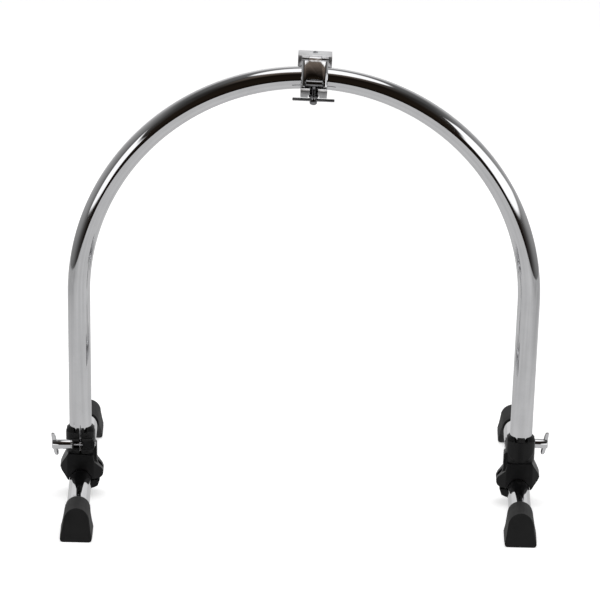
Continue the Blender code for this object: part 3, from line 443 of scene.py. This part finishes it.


# Painted sheen and wear: this mask paints the edges paler, for the sheen they catch as well as for rubbed
# coat.
def edge_wear_and_sheen():
    """A mask that is 1 along outer edges, broken up by a fine noise."""
    group, given, out = shader_group("edge_wear_and_sheen", [("Width", 0.0008), ("Amount", 1.0)],
                                     [("Mask", "NodeSocketFloat")])
    round_normal = put(group, "ShaderNodeBevel", {"samples": 4}, Radius=given.outputs["Width"])
    flat_normal = put(group, "ShaderNodeNewGeometry").outputs["Normal"]
    same = put(group, "ShaderNodeVectorMath", {"operation": "DOT_PRODUCT"}, _0=round_normal.outputs[0],
               _1=flat_normal).outputs["Value"]
    turned = put(group, "ShaderNodeMapRange", _0=same, _1=0.985, _2=0.86, _3=0.0, _4=1.0)
    place = put(group, "ShaderNodeTexCoord").outputs["Object"]
    broken = put(group, "ShaderNodeTexNoise", Vector=place, Scale=420.0, Detail=4.0)
    spots = put(group, "ShaderNodeMapRange", _0=broken.outputs[0], _1=0.38, _2=0.66, _3=0.0, _4=1.0)
    mask = calc(group, "MULTIPLY", turned.outputs[0], spots.outputs[0])
    group.links.new(calc(group, "MULTIPLY", mask, given.outputs["Amount"]), out.inputs["Mask"])
    return group


def fine_grain():
    """The fine grain of a coat or a moulding, as a normal."""
    group, given, out = shader_group("fine_grain", [("Scale", 1800.0), ("Depth", 0.00005), ("Strength", 0.3)],
                                     [("Normal", "NodeSocketVector")])
    place = put(group, "ShaderNodeTexCoord").outputs["Object"]
    fine = put(group, "ShaderNodeTexNoise", Vector=place, Scale=given.outputs["Scale"], Detail=3.0)
    bump = put(group, "ShaderNodeBump", Strength=given.outputs["Strength"], Distance=given.outputs["Depth"],
               Height=fine.outputs[0])
    group.links.new(bump.outputs[0], out.inputs["Normal"])
    return group


wear_and_sheen_group = edge_wear_and_sheen()
grain = fine_grain()


def dark_skin(name, colour, worn_and_sheen_colour, roughness, scale, depth, wear_and_sheen_amount, shine=0.5):
    """A dark coat or moulding: grained, smeared by hands and paler along its edges, as wear and as a painted
    sheen.
    """
    made = bpy.data.materials.new(name)
    tree = empty_tree(made)
    smear = put(tree, "ShaderNodeGroup", {"node_tree": marks}, Base=roughness, Smear=0.10, Scale=60.0)
    edges = put(tree, "ShaderNodeGroup", {"node_tree": wear_and_sheen_group}, Amount=wear_and_sheen_amount)
    skin = put(tree, "ShaderNodeGroup", {"node_tree": grain}, Scale=scale, Depth=depth)
    faint = calc(tree, "MULTIPLY", smear.outputs["Mask"], 0.35)
    paler = calc(tree, "MAXIMUM", edges.outputs["Mask"], faint)
    tone = put(tree, "ShaderNodeMix", {"data_type": "RGBA"}, _0=paler, _6=(*colour, 1),
               _7=(*worn_and_sheen_colour, 1))
    shader = put(tree, "ShaderNodeBsdfPrincipled", Base_Color=tone.outputs[2],
                 Roughness=smear.outputs["Roughness"], Normal=skin.outputs["Normal"],
                 Specular_IOR_Level=shine)
    put(tree, "ShaderNodeOutputMaterial", _0=shader.outputs[0])
    return made


black_coat = dark_skin("black_coat", coat_colour, coat_worn_and_sheen, roughness=0.33, scale=2200.0, depth=0.00004,
                       wear_and_sheen_amount=0.7, shine=0.28)
nylon = dark_skin("nylon", nylon_colour, nylon_worn_and_sheen, roughness=0.45, scale=900.0, depth=0.00003,
                  wear_and_sheen_amount=0.3)


def from_cad(node):
    """A CAD node's mesh in world space, its loose triangles merged and its flat faces joined."""
    source = frame["nodes"][node]
    mesh = source.data.copy()
    mesh.transform(source.matrix_world)
    work = bmesh.new()
    work.from_mesh(mesh)
    bmesh.ops.remove_doubles(work, verts=work.verts, dist=2e-6)
    bmesh.ops.dissolve_limit(work, angle_limit=math.radians(0.5), verts=work.verts, edges=work.edges)
    work.to_mesh(mesh)
    work.free()
    mesh.materials.clear()
    return mesh


def worked(mesh, modifiers):
    """A mesh after a list of (kind, settings) modifiers."""
    body = bpy.data.objects.new("worked", mesh)
    scene.collection.objects.link(body)
    for kind, settings in modifiers:
        step = body.modifiers.new(kind, kind)
        for name, value in settings.items():
            setattr(step, name, value)
    bpy.context.view_layer.update()
    graph = bpy.context.evaluated_depsgraph_get()
    made = bpy.data.meshes.new_from_object(body.evaluated_get(graph))
    bpy.data.objects.remove(body)
    return made


def cast(mesh, voxel=casting_voxel, rounds=casting_rounds):
    """The mesh with the soft corners of a casting or a moulding."""
    return worked(mesh, [("REMESH", {"mode": "VOXEL", "voxel_size": voxel, "adaptivity": 0.0}),
                         ("SMOOTH", {"factor": 0.5, "iterations": rounds})])


def edged(mesh, width, segments=2):
    """The mesh with its sharp edges rounded over."""
    return worked(mesh, [("BEVEL", {"width": width, "segments": segments, "limit_method": "ANGLE",
                                    "angle_limit": math.radians(sharp_angle),
                                    "use_clamp_overlap": True})])


for side in ("right", "left"):
    body = side + "_clamp"
    casting = piece_of(side + "_casting", [cast(from_cad(side + "_clamp_body"))], black_coat, casting_angle)
    settle(casting, [side + "_clamp_body"], body)
    sleeve = piece_of(side + "_sleeve", [edged(from_cad(side + "_leg_liner"), fine_edge)], nylon)
    settle(sleeve, [side + "_leg_liner"], body)
    hook = piece_of(side + "_hook", [cast(from_cad(side + "_lower_jaw"))], black_coat, casting_angle)
    settle(hook, [side + "_lower_jaw"], side + "_jaw")
    nut = piece_of(side + "_nut", [edged(from_cad(side + "_wing_bolt_nut"), head_edge)], black_coat)
    settle(nut, [side + "_wing_bolt_nut"], body)


# Screws of the leg clamps
# A cast wing bolt with a rolled thread, its turned washer, and a zinc plated socket head screw.
# Each thread is a true helix, and it fades out at both ends.
zinc_colour = (0.56, 0.57, 0.59)
zinc_dull = (0.42, 0.43, 0.45)
thread_pitch = 0.001
thread_depth = 0.00055
thread_columns = 41
thread_rows = 10                # to one turn
screw_radius = 0.003
wing_reach = 0.016
wing_thickness = 0.0032
wing_round = 0.00145
hub_radius = 0.0064
hub_gap = 0.0003                # between the hub and its washer
cap_head = 0.006                # height of the socket head
cap_cut = 0.0001                # the head is cut off this far above its underside
cap_lap = 0.0002                # the thread runs this far into the head
zinc = plated("zinc", zinc_colour, zinc_dull, roughness=0.22, smear=0.14)


def thread_tree():
    """A threaded bar along +Z: a grid rolled round the axis, its radius rising and falling."""
    tree, given, out = growing_tree("screw_thread", [
        ("Radius", "Float"), ("Depth", "Float"), ("Pitch", "Float"), ("Length", "Float"),
        ("Rows", "Int"), ("Material", "Material")])
    grid = put(tree, "GeometryNodeMeshGrid", Size_X=1.0, Size_Y=1.0, Vertices_X=thread_columns,
               Vertices_Y=given.outputs["Rows"])
    place = put(tree, "ShaderNodeSeparateXYZ", _0=put(tree, "GeometryNodeInputPosition").outputs[0])
    round_share = calc(tree, "ADD", place.outputs["X"], 0.5)
    angle = calc(tree, "MULTIPLY", round_share, 2 * math.pi)
    height = calc(tree, "MULTIPLY", calc(tree, "ADD", place.outputs["Y"], 0.5), given.outputs["Length"])
    turns = calc(tree, "SUBTRACT", calc(tree, "DIVIDE", height, given.outputs["Pitch"]), round_share)
    crest = calc(tree, "ABSOLUTE", calc(tree, "MULTIPLY_ADD", calc(tree, "FRACT", turns), 2.0, -1.0))
    left = calc(tree, "SUBTRACT", given.outputs["Length"], height)
    near_end = calc(tree, "DIVIDE", calc(tree, "MINIMUM", left, height), given.outputs["Pitch"])
    fade = calc(tree, "MINIMUM", near_end, 1.0)
    fall = calc(tree, "SUBTRACT", 1.0, calc(tree, "MULTIPLY", crest, fade))
    groove = calc(tree, "MULTIPLY", given.outputs["Depth"], fall)
    radius = calc(tree, "SUBTRACT", given.outputs["Radius"], groove)
    spot = put(tree, "ShaderNodeCombineXYZ", _0=calc(tree, "MULTIPLY", radius, calc(tree, "COSINE", angle)),
               _1=calc(tree, "MULTIPLY", radius, calc(tree, "SINE", angle)), _2=height)
    rolled = put(tree, "GeometryNodeSetPosition", Geometry=grid.outputs["Mesh"], Position=spot.outputs[0])
    finished(tree, rolled.outputs[0], given, out)
    return tree


screw_thread = thread_tree()


def axis_frame(origin, direction):
    """A matrix that lays +Z along a direction through a point."""
    turn = Vector(direction).normalized().to_track_quat("Z", "Y")
    return Matrix.Translation(Vector(origin)) @ turn.to_matrix().to_4x4()


def span(node, lay):
    """The lowest and highest point of a CAD node along a laid axis."""
    source = frame["nodes"][node]
    heights = [(lay.inverted() @ source.matrix_world @ vertex.co).z for vertex in source.data.vertices]
    return min(heights), max(heights)


def thread(lay, low, high, material):
    """A threaded shank from low to high along a laid axis."""
    seed = bpy.data.meshes.new("thread_seed")
    length = high - low
    rows = int(length / thread_pitch * thread_rows) + 2
    mesh = grown("thread", seed, screw_thread, {"Radius": screw_radius, "Depth": thread_depth,
                                                "Pitch": thread_pitch, "Length": length, "Rows": rows,
                                                "Material": material})
    mesh.transform(lay @ Matrix.Translation((0, 0, low)))
    return closed(mesh)


def turned(profile, lay, sides=64):
    """A (radius, height) profile that starts and ends on the axis, turned about a laid axis."""
    work = bmesh.new()
    rings = []
    for radius, height in profile:
        count = sides if radius > 0 else 1
        rings.append([work.verts.new((radius * math.cos(2 * math.pi * k / count),
                                      radius * math.sin(2 * math.pi * k / count), height))
                      for k in range(count)])
    for lower, upper in zip(rings, rings[1:]):
        for k in range(sides):
            corners = [lower[k % len(lower)], lower[(k + 1) % len(lower)],
                       upper[(k + 1) % len(upper)], upper[k % len(upper)]]
            work.faces.new(list(dict.fromkeys(corners)))
    bmesh.ops.recalc_face_normals(work, faces=work.faces)
    mesh = bpy.data.meshes.new("turned")
    work.to_mesh(mesh)
    work.free()
    mesh.transform(lay)
    return mesh


def beyond(mesh, lay, height, keep_above=True):
    """The part of a mesh on one side of a cut across a laid axis, closed at the cut."""
    work = bmesh.new()
    work.from_mesh(mesh)
    spot = lay @ Vector((0, 0, height))
    normal = lay.to_3x3() @ Vector((0, 0, 1))
    cut = bmesh.ops.bisect_plane(work, geom=work.verts[:] + work.edges[:] + work.faces[:], plane_co=spot,
                                 plane_no=normal, clear_inner=keep_above, clear_outer=not keep_above)
    rim = [item for item in cut["geom_cut"] if isinstance(item, bmesh.types.BMEdge)]
    bmesh.ops.holes_fill(work, edges=rim, sides=0)
    bmesh.ops.recalc_face_normals(work, faces=work.faces)
    work.to_mesh(mesh)
    work.free()
    return mesh


def softened(outline, rounds=3):
    """A closed outline with its corners cut again and again until it is a smooth curve."""
    for _ in range(rounds):
        cut = []
        for index, (a, b) in enumerate(outline):
            c, d = outline[(index + 1) % len(outline)]
            cut += [(0.75 * a + 0.25 * c, 0.75 * b + 0.25 * d), (0.25 * a + 0.75 * c, 0.25 * b + 0.75 * d)]
        outline = cut
    return outline


def wings(lay, end):
    """Both wings in one plate across the hub, its long edges rounded over."""
    root = hub_radius * 0.6
    reach = wing_reach
    outline = [(-root, end - 0.0072), (-0.66 * reach, end - 0.0092), (-0.90 * reach, end - 0.0086),
               (-0.97 * reach, end - 0.0062), (-0.88 * reach, end - 0.0034), (-root, end - 0.0014),
               (root, end - 0.0003), (0.92 * reach, end + 0.0010), (1.03 * reach, end + 0.0002),
               (1.00 * reach, end - 0.0034), (0.68 * reach, end - 0.0052), (root, end - 0.0064)]
    outline = softened(outline)
    work = bmesh.new()
    rings = [[work.verts.new((b, y, a)) for b, a in outline]
             for y in (-wing_thickness / 2, wing_thickness / 2)]
    for ring in rings:
        work.faces.new(ring)
    for k in range(len(outline)):
        work.faces.new([rings[0][k - 1], rings[0][k], rings[1][k], rings[1][k - 1]])
    bmesh.ops.recalc_face_normals(work, faces=work.faces)
    mesh = bpy.data.meshes.new("wings")
    work.to_mesh(mesh)
    work.free()
    mesh = worked(mesh, [("BEVEL", {"width": wing_round, "segments": 5, "limit_method": "ANGLE",
                                    "angle_limit": math.radians(60)})])
    mesh.transform(lay)
    return mesh


for side in ("right", "left"):
    turn = joint(side + "_wing_bolt_turn")
    axis = Vector(turn["axis"])
    upright = -Vector(joint(side + "_height")["axis"])
    across = axis.cross(upright)
    lay = Matrix.Translation(Vector(turn["pos_m"])) @ Matrix((upright, across, axis)).transposed().to_4x4()
    low, end = span(side + "_wing_bolt", lay)
    seat = span(side + "_wing_bolt_washer", lay)[1] + hub_gap
    hub = [(0, seat), (hub_radius - 0.0006, seat), (hub_radius, seat + 0.0006), (hub_radius, end - 0.0012),
           (hub_radius - 0.0004, end - 0.0006), (hub_radius - 0.0014, end - 0.0001), (0, end)]
    parts = [turned(hub, lay), wings(lay, end), thread(lay, low, seat, chrome)]
    settle(piece_of(side + "_wing", parts, chrome), [side + "_wing_bolt"], side + "_wing")
    washer = piece_of(side + "_wing_washer", [edged(from_cad(side + "_wing_bolt_washer"), fine_edge)], chrome)
    settle(washer, [side + "_wing_bolt_washer"], side + "_wing_seat")

    turn = joint(side + "_jaw_bolt_turn")
    lay = axis_frame(turn["pos_m"], turn["axis"])
    low, high = span(side + "_jaw_bolt", lay)
    under_head = high - cap_head
    head = beyond(from_cad(side + "_jaw_bolt"), lay, under_head + cap_cut)
    parts = [edged(head, head_edge), thread(lay, low, under_head + cap_lap, zinc)]
    cap_screw = piece_of(side + "_cap_screw", parts, zinc)
    settle(cap_screw, [side + "_jaw_bolt"], side + "_jaw_screw")


# Foot tubes
# Straight chrome tubes of 30 mm, one under each leg, from rubber foot to rubber foot.
# Each slides from front to back in its clamp while the jaw is loose.
for side in ("right", "left"):
    low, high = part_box(side + "_foot_tube")
    radius = (high[0] - low[0]) / 2
    ends = [Vector(((low[0] + high[0]) / 2, y, (low[2] + high[2]) / 2)) for y in (low[1], high[1])]
    settle(bar(side + "_runner", ends, radius, chrome), [side + "_foot_tube"], side + "_foot")


# Rubber feet
# Moulded in soft black rubber and pushed on the tube ends: matt, with a fine skin and blunt edges.
# All four are the same moulding, and the front and rear ones face opposite ways.
rubber_colour = (0.007, 0.007, 0.0075)
rubber_worn_and_sheen = (0.022, 0.022, 0.022)
rubber_voxel = 0.00055
rubber_rounds = 6
rubber = dark_skin("rubber", rubber_colour, rubber_worn_and_sheen, roughness=0.60, scale=1500.0, depth=0.00006,
                   wear_and_sheen_amount=0.25)
for side in ("right", "left"):
    for end in ("front", "rear"):
        node = side + "_" + end + "_foot"
        moulding = cast(from_cad(node), rubber_voxel, rubber_rounds)
        boot = piece_of(side + "_" + end + "_boot", [moulding], rubber, casting_angle)
        settle(boot, [node], side + "_foot")


# Hoop clamp
# A bracket of 3 mm steel behind the tube, satin plated, and a folded channel of 2.5 mm steel in
# front of it, bright chrome, hinged above the tube on a zinc plated pin.
# A rubber pad lies on the shelf behind, where the drum's hoop rests.
satin_colour = (0.72, 0.72, 0.73)
satin_dull = (0.60, 0.60, 0.61)
web_curve = math.radians(5.5)
web_wave = 0.00010              # depth of the faint waves in the web
web_wave_scale = 130.0
web_top_edge = 0.001            # the curve ends this far below the channel's top
web_bottom_edge = 0.010         # and starts this far above its lower edge
bracket_edge = 0.0005
channel_edge = 0.0004
pad_edge = 0.0004


def curved_web(top, bottom):
    """Chrome whose web turns back towards its top, from the bottom height up."""
    made = plated("channel_chrome", chrome_colour, chrome_dull, roughness=0.06, smear=0.06)
    tree = made.node_tree
    place = put(tree, "ShaderNodeTexCoord").outputs["Object"]
    height = put(tree, "ShaderNodeSeparateXYZ", _0=place).outputs["Z"]
    up = put(tree, "ShaderNodeMapRange", _0=height, _1=bottom, _2=top, _3=0.0, _4=1.0).outputs[0]
    lean = -0.5 * math.tan(web_curve) * (top - bottom)
    fall = calc(tree, "MULTIPLY", calc(tree, "MULTIPLY", up, up), lean)
    wave = put(tree, "ShaderNodeTexNoise", Vector=place, Scale=web_wave_scale, Detail=1.0).outputs[0]
    bump = put(tree, "ShaderNodeBump", Strength=1.0, Distance=1.0,
               Height=calc(tree, "MULTIPLY_ADD", wave, web_wave, fall))
    shader = next(node for node in tree.nodes if node.type == "BSDF_PRINCIPLED")
    tree.links.new(bump.outputs[0], shader.inputs["Normal"])
    return made


satin_plating = plated("satin_plating", satin_colour, satin_dull, roughness=0.26, smear=0.12)
channel_low, channel_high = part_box("channel")
web_chrome = curved_web(channel_high[2] - web_top_edge, channel_low[2] + web_bottom_edge)
for name, node, width, material, slot in (
        ("back_bracket", "hoop_bracket", bracket_edge, satin_plating, "chrome"),
        ("front_channel", "channel", channel_edge, web_chrome, "chrome"),
        ("upper_pin", "hinge_pin", fine_edge, zinc, "zinc_steel"),
        ("lower_pin", "cross_pin", fine_edge, zinc, "zinc_steel"),
        ("shelf_pad", "lower_pad", pad_edge, rubber, "rubber")):
    made = piece_of(name, [edged(from_cad(node), width, 3)], material, sharp_angle)
    settle(made, [node], "hoop_clamp")


# Swing bolt and T-nut
# A bolt with a barrel head on the cross pin, a thick washer, and a round hub with a bar through it.
# All are chrome plated, painted darker than the clamp as painted shade, since they hang in the shade under
# the fork. The shank is plain down to the washer and threaded from there.
# painted shade: a darker copy of the chrome for the parts in the fork's shade
shaded_chrome_colour = (0.30, 0.30, 0.31)
shaded_chrome_dull = (0.22, 0.22, 0.23)
barrel_cut = 0.0075             # the barrel head is cut off here, from the middle of the cross pin
shank_start = 0.0070
shank_short = 0.0002            # the plain shank ends this far before the washer
thread_early = 0.0004           # and the thread starts this far before it
# Painted shade: the chrome of the bolt, washer and T-nut is painted darker, as they hang in the shade under
# the fork.
shaded_chrome = plated("shaded_chrome_plating", shaded_chrome_colour, shaded_chrome_dull, roughness=0.08, smear=0.08)
swing = joint("t_nut_turn")
swing_lay = axis_frame(swing["pos_m"], swing["axis"])
bolt_low, bolt_high = span("swing_bolt", swing_lay)
barrel = beyond(from_cad("swing_bolt"), swing_lay, barrel_cut, keep_above=False)
nut_seat = span("t_nut_washer", swing_lay)[0]
shank_end = nut_seat - shank_short
plain = turned([(0, shank_start), (screw_radius, shank_start), (screw_radius, shank_end), (0, shank_end)],
               swing_lay)
rolled = thread(swing_lay, nut_seat - thread_early, bolt_high, shaded_chrome)
hanging_bolt = piece_of("hanging_bolt", [edged(barrel, head_edge), plain, rolled], shaded_chrome)
settle(hanging_bolt, ["swing_bolt"], "swing_bolt")
fork_washer = piece_of("fork_washer", [edged(from_cad("t_nut_washer"), head_edge)], shaded_chrome)
settle(fork_washer, ["t_nut_washer"], "t_nut_seat")
settle(piece_of("bar_nut", [edged(from_cad("t_nut"), head_edge)], shaded_chrome), ["t_nut"], "t_nut")


# Hoop screw and its foot
# A zinc plated set screw in the flange, pressing a round swivel foot with a rubber face on the hoop.
# The end with its hexagon socket is plain, and the rest of its shank has a rolled thread.
driven_end = 0.0040
thread_start = 0.0038
press = joint("hoop_screw_turn")
press_lay = axis_frame(press["pos_m"], press["axis"])
press_low, press_high = span("hoop_screw", press_lay)
socket_end = beyond(from_cad("hoop_screw"), press_lay, press_low + driven_end, keep_above=False)
parts = [edged(socket_end, fine_edge), thread(press_lay, press_low + thread_start, press_high, zinc)]
settle(piece_of("set_screw", parts, zinc), ["hoop_screw"], "hoop_screw")
foot_disc = piece_of("foot_disc", [edged(from_cad("swivel_foot"), fine_edge)], zinc)
settle(foot_disc, ["swivel_foot"], "swivel")
disc_pad = piece_of("disc_pad", [edged(from_cad("upper_pad"), pad_edge)], rubber)
settle(disc_pad, ["upper_pad"], "swivel")
